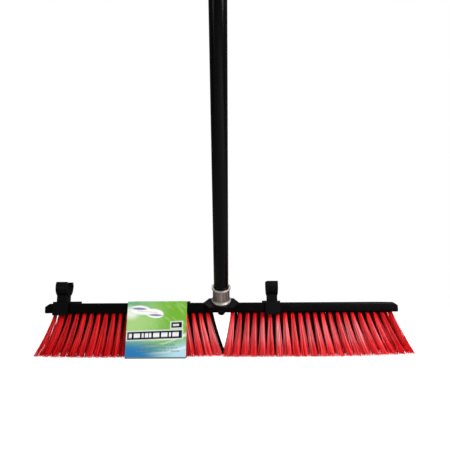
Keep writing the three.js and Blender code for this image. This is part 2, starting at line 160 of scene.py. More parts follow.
class Nodes:
    """Adds shader nodes to one material. A value is a number or an output socket."""

    def __init__(self, name):
        self.material = bpy.data.materials.new(name)
        self.material.use_nodes = True
        self.tree = self.material.node_tree
        self.shader = self.tree.nodes["Principled BSDF"]

    def set(self, socket, value):
        if isinstance(value, bpy.types.NodeSocket):
            self.tree.links.new(value, socket)
        elif isinstance(value, (tuple, list)) and len(value) == 3 and socket.type == "RGBA":
            socket.default_value = (*value, 1)
        else:
            socket.default_value = value

    def surface(self, **inputs):
        for name, value in inputs.items():
            self.set(self.shader.inputs[name.replace("_", " ")], value)

    def math(self, operation, a, b=0.0):
        node = self.tree.nodes.new("ShaderNodeMath")
        node.operation = operation
        for socket, value in zip(node.inputs, (a, b)):
            self.set(socket, value)
        return node.outputs[0]

    def add(self, a, b):
        return self.math("ADD", a, b)

    def take(self, a, b):
        return self.math("SUBTRACT", a, b)

    def times(self, a, b):
        return self.math("MULTIPLY", a, b)

    def ramp(self, value, low, high, to_low=0.0, to_high=1.0):
        """Goes smoothly from to_low at low to to_high at high, and stays level beyond them."""
        node = self.tree.nodes.new("ShaderNodeMapRange")
        node.interpolation_type = "SMOOTHSTEP"
        node.clamp = True
        for socket, number in zip(node.inputs, (value, low, high, to_low, to_high)):
            self.set(socket, number)
        return node.outputs[0]

    def ramp_straight(self, value, low, high):
        """0 at low and 1 at high, in proportion between them and beyond."""
        return self.times(self.take(value, low), 1 / (high - low))

    def combine(self, x, y, z):
        node = self.tree.nodes.new("ShaderNodeCombineXYZ")
        for socket, value in zip(node.inputs, (x, y, z)):
            self.set(socket, value)
        return node.outputs[0]

    def mix(self, share, a, b):
        """Colour a where share is 0, and colour b where it is 1."""
        node = self.tree.nodes.new("ShaderNodeMix")
        node.data_type = "RGBA"
        self.set(node.inputs[0], share)
        self.set(node.inputs[6], a)
        self.set(node.inputs[7], b)
        return node.outputs[2]

    def place(self, stretch=(1, 1, 1)):
        """The place on the object, scaled along each axis: less than 1 draws a pattern out."""
        coordinates = self.tree.nodes.new("ShaderNodeTexCoord").outputs["Object"]
        mapping = self.tree.nodes.new("ShaderNodeMapping")
        self.set(mapping.inputs["Vector"], coordinates)
        mapping.inputs["Scale"].default_value = stretch
        return mapping.outputs[0]

    def noise(self, vector, scale, detail=3.0, roughness=0.55):
        node = self.tree.nodes.new("ShaderNodeTexNoise")
        self.set(node.inputs["Vector"], vector)
        node.inputs["Scale"].default_value = scale
        node.inputs["Detail"].default_value = detail
        node.inputs["Roughness"].default_value = roughness
        return node.outputs["Fac"]

    def attribute(self, name):
        node = self.tree.nodes.new("ShaderNodeAttribute")
        node.attribute_name = name
        return node.outputs["Fac"]

    def split(self, vector):
        node = self.tree.nodes.new("ShaderNodeSeparateXYZ")
        self.set(node.inputs[0], vector)
        return node.outputs

    def bump(self, height, strength, distance):
        node = self.tree.nodes.new("ShaderNodeBump")
        self.set(node.inputs["Height"], height)
        node.inputs["Strength"].default_value = strength
        node.inputs["Distance"].default_value = distance
        self.set(self.shader.inputs["Normal"], node.outputs[0])


def moulded_plastic(name, colour, worn_colour, roughness):
    """Black polypropylene: fine spark-eroded grain, soft sink marks and pale handling scuffs."""
    n = Nodes(name)
    here = n.place()
    along = n.place((0.15, 1, 1))
    scuffs = n.ramp(n.noise(along, 180, 5, 0.7), 0.58, 0.74)
    patches = n.noise(here, 38, 3)
    patchy = n.ramp(patches, 0.3, 0.7, roughness - 0.07, roughness + 0.07)
    n.surface(
        Base_Color=n.mix(n.times(scuffs, 0.5), colour, worn_colour),
        Roughness=n.add(patchy, n.times(scuffs, 0.08)),
        Specular_IOR_Level=0.04,
    )
    height = n.add(n.times(n.noise(here, 2600, 2), 0.5), n.times(patches, 1.2))
    n.bump(height, 0.25, 0.0004)
    return n.material


def gloss_paint(name):
    """Black paint on a steel tube: slight orange peel, hair scratches along it and a little dust."""
    n = Nodes(name)
    here = n.place()
    fine = n.place((1, 0.05, 0.05))
    scratches = n.ramp(n.noise(fine, 2200, 4, 0.75), 0.66, 0.72)
    dust = n.ramp(n.noise(here, 60, 6, 0.7), 0.55, 0.8)
    n.surface(
        Base_Color=n.mix(n.times(dust, 0.2), (0.0014, 0.0014, 0.0015), (0.008, 0.0078, 0.0075)),
        Roughness=n.add(n.ramp(dust, 0, 1, 0.18, 0.26), n.times(scratches, 0.15)),
        Specular_IOR_Level=0.1,
    )
    n.bump(n.add(n.noise(here, 420, 2), n.times(scratches, -0.3)), 0.12, 0.0003)
    return n.material


def cast_metal(name):
    """Warm grey die-cast alloy: fine tumbled grain, with painted shade in its hollows and a painted
    highlight on its flange rims.
    """
    n = Nodes(name)
    here = n.place()
    grain = n.noise(here, 1500, 3, 0.6)
    stains = n.ramp(n.noise(here, 120, 4, 0.6), 0.42, 0.72)
    relief = n.attribute("relief")
    # Painted light by the distance from the axis: painted shade low on the waist and in the thread, plain
    # grey between, a painted highlight on the flange rims.
    shade_and_highlight = n.mix(n.ramp(relief, 0.0, 0.3), (0.23, 0.19, 0.17), (0.52, 0.45, 0.41))
    shade_and_highlight = n.mix(n.ramp(relief, 0.75, 1.0), shade_and_highlight, (0.62, 0.58, 0.54))
    n.surface(
        Base_Color=n.mix(n.times(stains, 0.4), shade_and_highlight, (0.2, 0.17, 0.155)),
        Metallic=0.8,
        Roughness=n.add(n.ramp(grain, 0.3, 0.7, 0.3, 0.44), n.times(stains, 0.06)),
    )
    n.bump(grain, 0.2, 0.0002)
    return n.material


def rubber(name):
    """Dark grey rubber washer: matt, mottled and slightly pitted."""
    n = Nodes(name)
    here = n.place()
    mottle = n.noise(here, 700, 4, 0.7)
    n.surface(
        Base_Color=n.mix(mottle, (0.055, 0.055, 0.058), (0.11, 0.11, 0.115)),
        Roughness=n.ramp(mottle, 0.3, 0.7, 0.6, 0.8),
        Specular_IOR_Level=0.3,
    )
    n.bump(mottle, 0.3, 0.0002)
    return n.material


def filament(name, deep_colour, lit_colour, highlight_colour):
    """Extruded bristle: each filament has its own tone, lowered at a tuft's sides as painted shade, and
    some carry a painted highlight: a brighter colour, paling further halfway down.
    """
    n = Nodes(name)
    tone_and_shade = n.attribute("tone_and_shade")
    along = n.attribute("along")
    painted_highlight = n.attribute("painted_highlight")
    # Low tone darkens a filament towards this painted shadow colour, at random and at a tuft's sides.
    shadow_colour = tuple(0.25 * c for c in deep_colour)
    # Painted highlight: filaments with more of it take the brighter colour, and pale towards the highlight
    # colour halfway down.
    body = n.mix(n.ramp(painted_highlight, 0.06, 0.25), deep_colour, lit_colour)
    halfway = n.times(n.ramp(along, 0.05, 0.4), n.ramp(along, 0.55, 0.85, 1.0, 0.25))
    lit = n.mix(n.times(halfway, painted_highlight), body, highlight_colour)
    speckle = n.noise(n.place(), 900, 2)
    n.surface(
        Base_Color=n.mix(n.ramp(tone_and_shade, 0.05, 0.5, 0.75, 0.0), lit, shadow_colour),
        Roughness=n.ramp(speckle, 0.3, 0.7, 0.34, 0.48),
        Specular_IOR_Level=0.08,
    )
    n.bump(speckle, 0.1, 0.0001)
    return n.material


# ---- mesh helpers ----

SHARP = math.radians(32)  # an edge that turns by more than this is a sharp one


def add_object(name, vertices, faces, material):
    """A smooth-shaded mesh object, which keeps its sharp edges."""
    bm = bmesh.new()
    points = [bm.verts.new(v) for v in vertices]
    for face in faces:
        bm.faces.new([points[i] for i in face])
    bmesh.ops.remove_doubles(bm, verts=bm.verts, dist=1e-7)
    bmesh.ops.dissolve_degenerate(bm, dist=1e-8, edges=bm.edges)
    bmesh.ops.recalc_face_normals(bm, faces=bm.faces)
    mesh = bpy.data.meshes.new(name)
    bm.to_mesh(mesh)
    bm.free()
    mesh.shade_smooth()
    mesh.set_sharp_from_angle(angle=SHARP)
    mesh.materials.append(material)
    obj = bpy.data.objects.new(name, mesh)
    scene.collection.objects.link(obj)
    return obj


def rounded(points, radius, steps=4):
    """A closed outline with its corners rounded, except those on the axis (first value 0)."""
    outline = []
    count = len(points)
    for i, point in enumerate(points):
        corner = Vector(point)
        before = Vector(points[i - 1]) - corner
        after = Vector(points[(i + 1) % count]) - corner
        if corner.x == 0:
            outline.append(corner)
            continue
        half_angle = before.angle(after) / 2
        reach = min(radius / math.tan(half_angle), 0.45 * before.length, 0.45 * after.length)
        start = corner + before.normalized() * reach
        end = corner + after.normalized() * reach
        for step in range(steps + 1):
            t = step / steps
            outline.append(start * (1 - t) ** 2 + corner * (2 * t * (1 - t)) + end * t ** 2)
    return outline


def turned(outline, segments=72):
    """Vertices and faces of a closed outline of (radius, height) turned about the local Z axis."""
    count = len(outline)
    vertices = []
    for i in range(segments):
        angle = 2 * math.pi * i / segments
        vertices += [(r * math.cos(angle), r * math.sin(angle), z) for r, z in outline]
    faces = []
    for i in range(segments):
        here = i * count
        there = (i + 1) % segments * count
        for j in range(count):
            k = (j + 1) % count
            if outline[j][0] or outline[k][0]:
                faces.append((here + j, here + k, there + k, there + j))
    return vertices, faces


def pulled(outline, low, high):
    """Vertices and faces of a closed outline in (Y, Z), pulled along X from low to high."""
    count = len(outline)
    vertices = [(x, y, z) for x in (low, high) for y, z in outline]
    faces = [tuple(range(count)), tuple(range(2 * count - 1, count - 1, -1))]
    faces += [(i, i + count, (i + 1) % count + count, (i + 1) % count) for i in range(count)]
    return vertices, faces


def soften(obj, width, segments=2):
    """Rounds the sharp edges."""
    bevel = obj.modifiers.new("rounded_edges", "BEVEL")
    bevel.width = width
    bevel.segments = segments
    bevel.limit_method = "ANGLE"
    bevel.angle_limit = SHARP
    bevel.harden_normals = False
    return obj


def refined(node, name, material, width, segments=2):
    """A new piece with a CAD node's shape, cleaned of its triangles, with rounded edges."""
    source = frame["nodes"][node].data
    bm = bmesh.new()
    bm.from_mesh(source)
    bmesh.ops.remove_doubles(bm, verts=bm.verts, dist=2e-6)
    bmesh.ops.dissolve_limit(bm, angle_limit=math.radians(0.6), verts=bm.verts, edges=bm.edges)
    bm.verts.index_update()
    vertices = [v.co.copy() for v in bm.verts]
    faces = [[v.index for v in face.verts] for face in bm.faces]
    bm.free()
    return soften(add_object(name, vertices, faces, material), width, segments)


def settle(obj, body, slot, *nodes):
    """Rides on its body and hides the CAD nodes given, which it stands for; the slot is not used."""
    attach(obj, body)
    if nodes:
        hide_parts(*nodes)


# ---- the handle's own frame: Z up the handle from the socket's seat ----

screw = next(joint for joint in frame["joints"] if joint["name"] == "handle_screw")
HANDLE_AXIS = Vector(screw["axis"]).normalized()
SEAT = Vector(screw["pos_m"])
HANDLE_FRAME = Matrix.Translation(SEAT) @ Matrix((
    (1, 0, 0),
    tuple(HANDLE_AXIS.cross(Vector((1, 0, 0)))),
    tuple(HANDLE_AXIS),
)).transposed().to_4x4()
TO_HANDLE = HANDLE_FRAME.inverted()


def span(node):
    """How far a CAD node reaches along the handle, and its largest radius about the handle's axis."""
    local = [TO_HANDLE @ v.co for v in frame["nodes"][node].data.vertices]
    heights = [p.z for p in local]
    return min(heights), max(heights), max(math.hypot(p.x, p.y) for p in local)


def on_handle(name, shape, material):
    """A piece made in the handle's frame."""
    obj = add_object(name, *shape, material)
    obj.data.transform(HANDLE_FRAME)
    obj.data.update()
    return obj


def merged(*shapes):
    """Several shapes as one list of vertices and faces."""
    vertices, faces = [], []
    for more_vertices, more_faces in shapes:
        start = len(vertices)
        vertices += list(more_vertices)
        faces += [tuple(i + start for i in face) for face in more_faces]
    return vertices, faces


# ---- tufts ----

FILAMENTS = 60                # in each tuft
FILAMENT_RADIUS = 0.42 * MM
FILAMENT_TAPER = 0.25         # how much thinner a filament is at its tip
FILAMENT_RINGS = 6
FILAMENT_SIDES = 3
FILAMENT_SHARP = math.radians(80)
GOLDEN_ANGLE = math.pi * (3 - math.sqrt(5))
TUFT_ROOT_RADIUS = 2.8 * MM
BLACK_TUFT_SHARE = 0.6        # an inner row's tuft is this wide beside a red one
TIP_LIMIT = 42 * MM           # the card sleeve fits over the tips
TUFT_TIP_REACH = 8.2 * MM     # half a tuft's spread at the floor, front to back
TUFT_TIP_SHARE = 0.52         # the same along the head, in pitches
TIP_GAP = 0.6 * MM            # the CAD tufts' tips stop this far short of each other
SPREAD_SCATTER = 0.1          # how unevenly a tuft's filaments spread, in parts of their spread
TIP_SCATTER = 0.07            # and in parts of the tuft's
BOW = (1.05, 1.45)            # powers of the height: the larger, the later a filament turns outwards
CRIMP = 0.3 * MM              # how far it sways along the head
CRIMP_DEPTH = 0.6             # as much of that from front to back
CRIMP_TURN = 9                # radians of its wave along a filament
TRIM = 1.8 * MM               # how unevenly the tips are trimmed
TRIM_BELOW = 0.3              # the part of that which falls below the mean tip
UNSPLAYED = 10 * MM           # tufts that fan out by more than this end above the floor
DARKEST_TONE = 0.12
SIDE_SHADE = 0.55             # painted shade: how much darker in tone a tuft is painted at its sides
# The painted highlight of the filaments:
HIGHLIGHT_X = (-0.17, -0.06, 0.22, 0.29)  # where the painted highlight starts, is full, wanes and stops along the head
LEAST_HIGHLIGHT = 0.12
TUFT_HIGHLIGHT = (0.45, 1.0)     # how much tufts differ in painted highlight
FILAMENT_HIGHLIGHT = (0.35, 1.0)
HIGHLIGHT_SKEW = 1.7             # a power above 1 leaves few filaments with the full painted highlight


def tuft_places(node):
    """The middles of each tuft's root and tip, read from its CAD row."""
    points = np.array([v.co for v in frame["nodes"][node].data.vertices])
    top = points[points[:, 2] > points[:, 2].max() - 1e-5]
    bottom = points[points[:, 2] < points[:, 2].min() + 1e-5]
    edges = np.unique(np.round(top[:, 0], 5))
    roots = edges.reshape(-1, 2).mean(1)
    pitch = (np.ptp(bottom[:, 0]) + 2 * TIP_GAP) / len(roots)
    tips = bottom[:, 0].min() - TIP_GAP + pitch * (np.arange(len(roots)) + 0.5)
    root_y, tip_y = (0.5 * (side[:, 1].min() + side[:, 1].max()) for side in (top, bottom))
    root_z = top[:, 2].max()
    root_points = np.column_stack([roots, np.full_like(roots, root_y), np.full_like(roots, root_z)])
    tip_points = np.column_stack([tips, np.full_like(tips, tip_y), np.zeros_like(tips)])
    return root_points, tip_points, pitch


def filament_disc(tufts):
    """Where each filament of a number of tufts stands in its tuft's circle of radius 1."""
    turn = np.arange(FILAMENTS) * GOLDEN_ANGLE
    reach = np.sqrt((np.arange(FILAMENTS) + 0.5) / FILAMENTS)
    disc = np.column_stack([reach * np.cos(turn), reach * np.sin(turn)])
    return np.tile(disc, (tufts, 1))


def filament_ends(root_points, tip_points, pitch, disc, slim, random):
    """The root and the tip of each filament, from the middles of its own tuft's root and tip."""
    count = len(disc)
    root = root_points.copy()
    root[:, :2] += disc * TUFT_ROOT_RADIUS * slim
    uneven = disc * random.normal(1.0, SPREAD_SCATTER, (count, 1))
    spread = uneven + random.normal(0, TIP_SCATTER, (count, 2))
    tip = tip_points.copy()
    tip[:, 0] += spread[:, 0] * pitch * TUFT_TIP_SHARE * slim
    reach = tip[:, 1] + spread[:, 1] * TUFT_TIP_REACH * slim
    tip[:, 1] = np.clip(reach, -TIP_LIMIT, TIP_LIMIT)
    height = root[:, 2]
    fanned = tip_points[:, 0] - root_points[:, 0]
    length = np.hypot(height, UNSPLAYED)
    lift = np.maximum(0, height - np.sqrt(length ** 2 - fanned ** 2))
    tip[:, 2] += lift + random.uniform(-TRIM_BELOW * TRIM, (1 - TRIM_BELOW) * TRIM, count)
    return root, tip


def filament_vertices(root, tip, random):
    """Rings of vertices along each filament, which bows outwards, is slightly crimped and thins."""
    count = len(root)
    phase = random.uniform(0, 2 * math.pi, count)
    bow = random.uniform(*BOW, count)
    sides = 2 * math.pi * np.arange(FILAMENT_SIDES) / FILAMENT_SIDES
    vertices = np.empty((count, FILAMENT_RINGS, FILAMENT_SIDES, 3))
    for ring, share in enumerate(np.linspace(0, 1, FILAMENT_RINGS)):
        outward = (share ** bow)[:, None]
        upward = np.full(count, share)
        middle = root + (tip - root) * np.column_stack([outward, outward, upward])
        wave = CRIMP * share * np.sin(phase + CRIMP_TURN * share)
        middle[:, 0] += wave
        middle[:, 1] += wave * CRIMP_DEPTH
        radius = FILAMENT_RADIUS * (1 - FILAMENT_TAPER * share ** 4)
        turned_by = phase[:, None] + sides[None, :]
        vertices[:, ring, :, 0] = middle[:, 0:1] + radius * np.cos(turned_by)
        vertices[:, ring, :, 1] = middle[:, 1:2] + radius * np.sin(turned_by)
        vertices[:, ring, :, 2] = middle[:, 2:3]
    return vertices.reshape(-1, 3).tolist()


def filament_faces(count):
    """The sides of every filament, ring by ring, and then its two ends."""
    step = FILAMENT_RINGS * FILAMENT_SIDES
    starts = step * np.arange(count)[:, None, None]
    pattern = []
    for ring in range(FILAMENT_RINGS - 1):
        high = ring * FILAMENT_SIDES
        low = high + FILAMENT_SIDES
        for side in range(FILAMENT_SIDES):
            after = (side + 1) % FILAMENT_SIDES
            pattern.append((high + after, high + side, low + side, low + after))
    sides = (np.array(pattern)[None] + starts).reshape(-1, 4)
    caps = np.array([
        tuple(range(FILAMENT_SIDES)),
        tuple(range(step - 1, step - 1 - FILAMENT_SIDES, -1)),
    ])
    ends = (caps[None] + starts).reshape(-1, FILAMENT_SIDES)
    return sides.tolist() + ends.tolist()


def shade_filaments(mesh, row_x, tuft, disc, random):
    """Writes each filament's tone with its painted side shade, its painted highlight, and each ring's place
    along it, for its material.
    """
    step = FILAMENT_RINGS * FILAMENT_SIDES
    # The painted highlight: full in the middle of the head and fading to its ends, uneven between tufts and
    # between filaments.
    fade = np.interp(row_x, HIGHLIGHT_X, (0, 1, 1, 0))
    tuft_highlight = (LEAST_HIGHLIGHT + (1 - LEAST_HIGHLIGHT) * fade) * random.uniform(*TUFT_HIGHLIGHT, len(row_x))
    # Tone is random per filament, and lower at a tuft's sides as painted shade.
    tone_and_shade = random.uniform(DARKEST_TONE, 1, len(tuft)) * (1 - SIDE_SHADE * disc[:, 0] ** 2)
    painted_highlight = tuft_highlight[tuft] * random.uniform(*FILAMENT_HIGHLIGHT, len(tuft)) ** HIGHLIGHT_SKEW
    along = np.tile(np.repeat(np.linspace(0, 1, FILAMENT_RINGS), FILAMENT_SIDES), len(tuft))
    layers = {"tone_and_shade": np.repeat(tone_and_shade, step), "along": along, "painted_highlight": np.repeat(painted_highlight, step)}
    for key, values in layers.items():
        layer = mesh.attributes.new(key, "FLOAT", "POINT")
        layer.data.foreach_set("value", values.astype(np.float32))


def tuft_piece(name, node, chosen, material, random, slim=1.0):
    """The chosen tufts of one CAD row, filament by filament."""
    root_points, tip_points, pitch = tuft_places(node)
    tuft = np.repeat(chosen, FILAMENTS)
    disc = filament_disc(len(chosen))
    root, tip = filament_ends(root_points[tuft], tip_points[tuft], pitch, disc, slim, random)
    mesh = bpy.data.meshes.new(name)
    mesh.from_pydata(filament_vertices(root, tip, random), [], filament_faces(len(tuft)))
    mesh.shade_smooth()
    mesh.set_sharp_from_angle(angle=FILAMENT_SHARP)
    shade_filaments(mesh, root_points[:, 0], tuft, disc, random)
    mesh.materials.append(material)
    obj = bpy.data.objects.new(name, mesh)
    scene.collection.objects.link(obj)
    return obj


def make_tufts():
    """The front and rear rows are red and the inner ones black, but for a red tuft at the outer end."""
    # Each is given its deep colour, its brighter painted-lit colour and its painted highlight colour.
    red = filament("red_bristle", (0.82, 0.005, 0.009), (1.0, 0.01, 0.018), (1.0, 0.42, 0.46))
    black = filament("black_bristle", (0.004, 0.0035, 0.0035), (0.007, 0.006, 0.0065), (0.02, 0.016, 0.017))
    random = np.random.default_rng(SEED)
    for side in ("left", "right"):
        for row in range(1, 6):
            node = f"tuft_row_{side}_{row}"
            name = f"tufts_{side}_{row}"
            last = len(tuft_places(node)[0]) - 1
            everywhere = np.arange(last + 1)
            end = last if side == "right" else 0
            if row in (1, 5):
                piece = tuft_piece(name, node, everywhere, red, random)
                settle(piece, "head", "red_filament", node)
                continue
            inner = everywhere[everywhere != end]
            piece = tuft_piece(name, node, inner, black, random, BLACK_TUFT_SHARE)
            settle(piece, "head", "black_filament", node)
            piece = tuft_piece(f"end_tuft_{side}_{row}", node, np.array([end]), red, random)
            settle(piece, "head", "red_filament")


# ---- head block ----

GAP = 0.3 * MM                # between pieces that touch in reality
RIM_HALF_HEIGHT = 0.7 * MM    # of the low rim where a tuft enters the block
RIM_BORE = TUFT_ROOT_RADIUS + 0.4 * MM
RIM_RADIUS = 4.1 * MM
RIM_FLARE = 0.5 * MM


def make_head():
    plastic = moulded_plastic("head_plastic", (0.0012, 0.0011, 0.0011), (0.006, 0.0057, 0.0057), 0.4)
    block = refined("head_block", "head_shell", plastic, 0.9 * MM, 3)
    settle(block, "head", "head_plastic", "head_block")
    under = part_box("tuft_row_left_1")[1].z + GAP
    rim = rounded([
        (RIM_BORE, -RIM_HALF_HEIGHT),
        (RIM_RADIUS, -RIM_HALF_HEIGHT),
        (RIM_RADIUS + RIM_FLARE, RIM_HALF_HEIGHT),
        (RIM_BORE, RIM_HALF_HEIGHT),
    ], 0.3 * MM, 2)
    vertices, faces = turned([tuple(p) for p in rim], 14)
    shapes = []
    for side in ("left", "right"):
        for row in range(1, 6):
            for x, y, _ in tuft_places(f"tuft_row_{side}_{row}")[0]:
                shapes.append(([(vx + x, vy + y, vz + under) for vx, vy, vz in vertices], faces))
    rims = add_object("tuft_rims", *merged(*shapes), plastic)
    settle(rims, "head", "head_plastic")


# ---- collar with its tapered thread, washers, tubes, joint and cap ----

COLLAR_HEIGHT = 28.5 * MM
COLLAR_FLANGE = 3 * MM             # the thickness of its flange at either end
COLLAR_SLOPE = 1.6 * MM            # the height from a flange to the waist
COLLAR_WALL = 1.4 * MM             # how far the waist stands out from the tube
COLLAR_ROOM = 0.35 * MM            # round the tube
UPPER_FLANGE_INSET = 0.6 * MM      # the upper flange is this much narrower
RIBS = 8
FINE_RIBS = 4                      # a main rib and three fine ones
MAIN_RIB = (0.75 * MM, 0.75 * MM)  # height over the waist, and half its width
FINE_RIB = (0.4 * MM, 0.45 * MM)
RIB_ROOT = 0.6 * MM                # a rib starts this far inside the waist
THREAD_PITCH = 5.08 * MM           # the foot's joint rises by this much a turn
THREAD_HEIGHT = 1.1 * MM
THREAD_SINK = 0.6                  # the ridge reaches this many heights into the cone
THREAD_ROOT = 0.24                 # half the ridge's width at its root, in pitches
THREAD_CREST = 0.4                 # the same at its crest, as a part of that
THREAD_FADE = 0.1                  # the part of its length over which either end fades
THREAD_LOW_RADIUS = 4.5 * MM       # over the crests, which stay inside the socket's taper
THREAD_HIGH_RADIUS = 9.4 * MM
THREAD_TOP = -3 * MM               # seen from the socket's seat
THREAD_STEPS = 36                  # a turn


def tapered_thread(low, high):
    """A helical ridge round the collar's cone, fading out at both ends."""
    turns = (high - low) / THREAD_PITCH
    steps = round(THREAD_STEPS * turns)
    root_half = THREAD_ROOT * THREAD_PITCH
    crest_half = THREAD_CREST * root_half
    root = -(1 + THREAD_SINK) * THREAD_HEIGHT
    vertices, faces = [], []
    for i in range(steps + 1):
        share = i / steps
        angle = 2 * math.pi * turns * share
        z = low + (high - low) * share
        radius = THREAD_LOW_RADIUS + (THREAD_HIGH_RADIUS - THREAD_LOW_RADIUS) * share
        crest = -THREAD_HEIGHT * (1 - min(1.0, share / THREAD_FADE, (1 - share) / THREAD_FADE))
        profile = ((root, -root_half), (crest, -crest_half), (crest, crest_half), (root, root_half))
        for inward, offset in profile:
            r = radius + inward
            vertices.append((r * math.cos(angle), r * math.sin(angle), z + offset))
    for i in range(steps):
        for j in range(4):
            k = (j + 1) % 4
            faces.append((4 * i + j, 4 * i + k, 4 * i + 4 + k, 4 * i + 4 + j))
    faces += [(0, 1, 2, 3), (4 * steps + 3, 4 * steps + 2, 4 * steps + 1, 4 * steps)]
    return vertices, faces


def collar_ribs(waist, base, rim):
    """Upright ribs round the waist, a high one and then fine ones, between the two flanges."""
    ribs = []
    for i in range(RIBS * FINE_RIBS):
        height, half = MAIN_RIB if i % FINE_RIBS == 0 else FINE_RIB
        shape = rounded([
            (waist - RIB_ROOT, base + COLLAR_FLANGE + 0.2 * MM),
            (waist + height, base + COLLAR_FLANGE + 1.4 * MM),
            (waist + height, rim - COLLAR_FLANGE - 1.4 * MM),
            (waist - RIB_ROOT, rim - COLLAR_FLANGE - 0.2 * MM),
        ], 0.3 * MM)
        vertices, faces = pulled([tuple(p) for p in shape], -half, half)
        turn = Matrix.Rotation(2 * math.pi * i / (RIBS * FINE_RIBS) - math.pi / 2, 4, "Z")
        ribs.append(([turn @ Vector((r, across, z)) for across, r, z in vertices], faces))
    return ribs


def make_collar():
    metal = cast_metal("collar_metal")
    low, _, flange = span("threaded_collar")
    tube_base, _, tube_radius = span("lower_tube")
    base = span("seat_washer")[1] + GAP
    rim = base + COLLAR_HEIGHT
    waist = tube_radius + COLLAR_WALL
    room = tube_radius + COLLAR_ROOM
    upper_flange = flange - UPPER_FLANGE_INSET
    core = THREAD_HIGH_RADIUS - THREAD_HEIGHT
    tip = THREAD_LOW_RADIUS - THREAD_HEIGHT
    body = rounded([
        (0, low),
        (tip - 1 * MM, low),
        (tip, low + 1 * MM),
        (core, THREAD_TOP),
        (core, base),
        (flange, base),
        (flange, base + COLLAR_FLANGE),
        (waist, base + COLLAR_FLANGE + COLLAR_SLOPE),
        (waist, rim - COLLAR_FLANGE - COLLAR_SLOPE),
        (upper_flange, rim - COLLAR_FLANGE),
        (upper_flange, rim),
        (room, rim),
        (room, tube_base - GAP),
        (0, tube_base - GAP),
    ], 0.8 * MM)
    shell = turned([tuple(p) for p in body], 96)
    thread = tapered_thread(low + 2 * MM, THREAD_TOP)
    collar = on_handle("collar", merged(shell, thread, *collar_ribs(waist, base, rim)), metal)
    # relief runs from 0 at the waist to 1 at the upper flange's rim; the collar's material paints shade and
    # highlight by it.
    relief = []
    for vertex in collar.data.vertices:
        place = TO_HANDLE @ vertex.co
        relief.append((math.hypot(place.x, place.y) - waist) / (upper_flange - waist))
    collar.data.attributes.new("relief", "FLOAT", "POINT").data.foreach_set("value", relief)
    settle(collar, "handle_lower", "collar_metal", "threaded_collar")


def make_ring(name, node, body, slot, material, radius):
    """A washer or other plain ring, with rounded edges."""
    low, high, outer = span(node)
    local = [TO_HANDLE @ v.co for v in frame["nodes"][node].data.vertices]
    inner = min(math.hypot(p.x, p.y) for p in local)
    outline = rounded([(inner, low), (outer, low), (outer, high), (inner, high)], radius)
    ring = on_handle(name, turned([tuple(p) for p in outline], 72), material)
    settle(ring, body, slot, node)


def make_handle():
    paint = gloss_paint("handle_paint")
    washer = rubber("washer_rubber")
    insert = moulded_plastic("insert_plastic", (0.02, 0.02, 0.021), (0.06, 0.06, 0.06), 0.5)
    cap_plastic = moulded_plastic("cap_plastic", (0.009, 0.009, 0.01), (0.04, 0.04, 0.04), 0.55)
    make_ring("seat_ring", "seat_washer", "washer_lower", "washer_plastic", washer, 0.4 * MM)
    make_ring("joint_ring", "joint_washer", "washer_upper", "washer_plastic", washer, 0.4 * MM)
    make_ring("lower_pole", "lower_tube", "handle_lower", "handle_paint", paint, 0.3 * MM)
    make_ring("upper_pole", "upper_tube", "handle_upper", "handle_paint", paint, 0.3 * MM)
    socket = refined("joint_socket", "joint_insert", insert, 0.4 * MM)
    settle(socket, "handle_lower", "insert_plastic", "joint_socket")
    stud = refined("joint_stud", "joint_plug", insert, 0.4 * MM)
    settle(stud, "handle_upper", "insert_plastic", "joint_stud")
    cap = refined("end_cap", "hanging_cap", cap_plastic, 1.0 * MM, 3)
    settle(cap, "handle_upper", "cap_plastic", "end_cap")


# ---- packing clips ----

JAW_MIDDLE = (-20 * MM, 118.2 * MM)  # (Y, Z)
JAW_RADIUS = 15.9 * MM               # over the outside
JAW_HALF_LENGTH = 9.8 * MM
JAW_ARCS = ((155, 262), (278, 385))  # degrees from +Y: front and back, clear of the neck and the mouth
JAW_BANDS = (-0.9, -0.3, 0.9)        # where the bands lie, in halves of the jaw's length
BAND_HEIGHT = 0.8 * MM
BAND_HALF_WIDTH = 0.8 * MM


def jaw_arc(radius, first, last):
    """Points in (Y, Z) along an arc about the jaw's middle."""
    angles = np.radians(np.linspace(first, last, 22))
    return [(JAW_MIDDLE[0] + radius * math.cos(a), JAW_MIDDLE[1] + radius * math.sin(a)) for a in angles]


def jaw_band(middle):
    """A raised band round the front and back of a jaw, at a place along it."""
    shapes = []
    for first, last in JAW_ARCS:
        outline = jaw_arc(JAW_RADIUS + BAND_HEIGHT, first, last)
        outline += jaw_arc(JAW_RADIUS - BAND_HEIGHT, last, first)
        shapes.append(pulled(outline, middle - BAND_HALF_WIDTH, middle + BAND_HALF_WIDTH))
    return merged(*shapes)


def make_clips():
    plastic = moulded_plastic("clip_plastic", (0.0034, 0.0034, 0.0036), (0.016, 0.016, 0.0165), 0.4)
    for side in ("left", "right"):
        clip = refined(f"clip_{side}", f"packing_clip_{side}", plastic, 0.5 * MM)
        settle(clip, f"{side}_clip", "clip_plastic", f"clip_{side}")
        low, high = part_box(f"clip_{side}")
        middle = (low.x + high.x) / 2
        bands = [jaw_band(middle + place * JAW_HALF_LENGTH) for place in JAW_BANDS]
        ribs = soften(add_object(f"jaw_ribs_{side}", *merged(*bands), plastic), 0.25 * MM)
        settle(ribs, f"{side}_clip", "clip_plastic")


# ---- card sleeve ----

